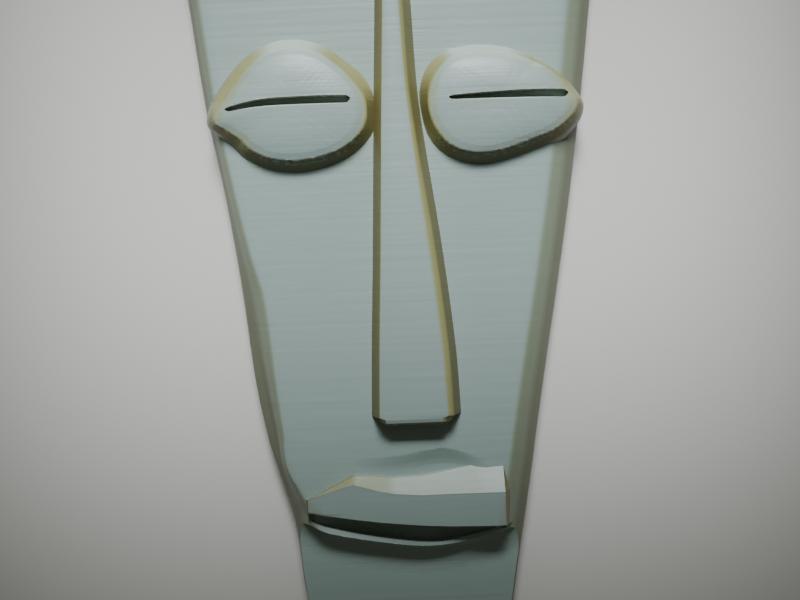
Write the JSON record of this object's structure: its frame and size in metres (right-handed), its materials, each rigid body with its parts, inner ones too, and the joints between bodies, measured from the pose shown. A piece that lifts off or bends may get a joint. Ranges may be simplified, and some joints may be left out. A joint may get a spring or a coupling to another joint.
{
  "type": "tiki mask",
  "caption": "Small printed tiki mask: a long tapering face with a long nose, closed slit eyes and a faceted upper lip, on a flat back.",
  "frame": {"origin": "middle of the flat back, under the middle of the mask's outline", "axes": "+Z out of the face, +Y from the chin to the top of the head, +X to the right as one looks at the face"},
  "size_m": [0.044, 0.084, 0.008],
  "materials": {
    "sage_plastic": "satin silk plastic, grey-green, turning olive gold on the sides"
  },
  "bodies": {
    "root": {"mask": "sage_plastic"}
  },
  "joints": []
}
